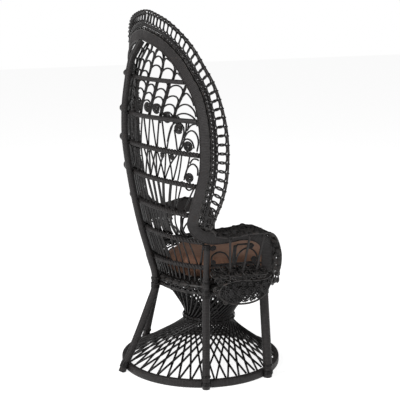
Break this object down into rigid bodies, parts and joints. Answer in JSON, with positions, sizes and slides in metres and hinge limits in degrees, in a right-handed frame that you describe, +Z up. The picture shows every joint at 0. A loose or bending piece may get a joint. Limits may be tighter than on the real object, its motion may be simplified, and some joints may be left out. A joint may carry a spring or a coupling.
{
  "type": "peacock chair",
  "caption": "Tall rattan armchair with a scooped fan back, lace border, hourglass base and a loose round seat cushion.",
  "frame": {"origin": "centre of the chair's box in plan, at floor level", "axes": "+Z up; the sitter faces -Y, so +Y points to the back; +X points to the sitter's left"},
  "size_m": [0.9432, 0.7152, 1.5143],
  "materials": {
    "rattan_pole": "black stained bare rattan, satin",
    "wrapped_cane": "black rattan bound with flat cane, satin",
    "woven_cane": "black stained thin cane, satin",
    "cushion_cloth": "brown napped cloth, matt"
  },
  "bodies": {
    "chair_frame": {"base_top_ring": "rattan_pole", "neck_binding": "rattan_pole", "seat_cross_bar_front": "rattan_pole", "seat_cross_bar_rear": "rattan_pole", "border_inner_rod_left": "rattan_pole", "border_inner_rod_right": "rattan_pole", "border_outer_rod_left": "rattan_pole", "border_outer_rod_right": "rattan_pole", "arm_side_rail_left": "rattan_pole", "arm_side_rail_right": "rattan_pole", "arm_stick_1_left": "rattan_pole", "arm_stick_1_right": "rattan_pole", "arm_stick_2_left": "rattan_pole", "arm_stick_2_right": "rattan_pole", "arm_stick_3_left": "rattan_pole", "arm_stick_3_right": "rattan_pole", "side_flap_rod_left": "rattan_pole", "side_flap_rod_right": "rattan_pole", "front_flap_rod": "rattan_pole", "floor_ring": "wrapped_cane", "seat_ring_upper": "wrapped_cane", "seat_ring_lower": "wrapped_cane", "spine_pole": "wrapped_cane", "rear_post_left": "wrapped_cane", "rear_post_right": "wrapped_cane", "front_leg_left": "wrapped_cane", "front_leg_right": "wrapped_cane", "hoop_band_left": "wrapped_cane", "hoop_band_right": "wrapped_cane", "back_rail_1": "wrapped_cane", "back_rail_2": "wrapped_cane", "back_rail_3": "wrapped_cane", "back_rail_4": "wrapped_cane", "back_rail_5": "wrapped_cane", "back_rail_6": "wrapped_cane", "back_rail_7": "wrapped_cane", "base_canes_outer": "woven_cane", "base_canes_inner": "woven_cane", "seat_deck": "woven_cane", "border_lace_front_left": "woven_cane", "border_lace_front_right": "woven_cane", "border_lace_back_left": "woven_cane", "border_lace_back_right": "woven_cane", "back_crown_lattice": "woven_cane", "back_scale_lattice": "woven_cane", "back_slant_canes": "woven_cane", "back_cross_canes_rear": "woven_cane", "back_cross_canes_front": "woven_cane", "back_stakes_middle": "woven_cane", "back_stakes_lower": "woven_cane", "arm_flare_left": "woven_cane", "arm_flare_right": "woven_cane", "arm_arches_left": "woven_cane", "arm_arches_right": "woven_cane", "side_flap_lace_left": "woven_cane", "side_flap_lace_right": "woven_cane", "front_flap_lace": "woven_cane"},
    "cushion": {"seat_cushion": "cushion_cloth"}
  },
  "joints": [
    {"name": "cushion_lift", "type": "slide", "parent": "chair_frame", "child": "cushion", "axis": [0, 0, 1], "range_m": [0, 0.2]}
  ]
}
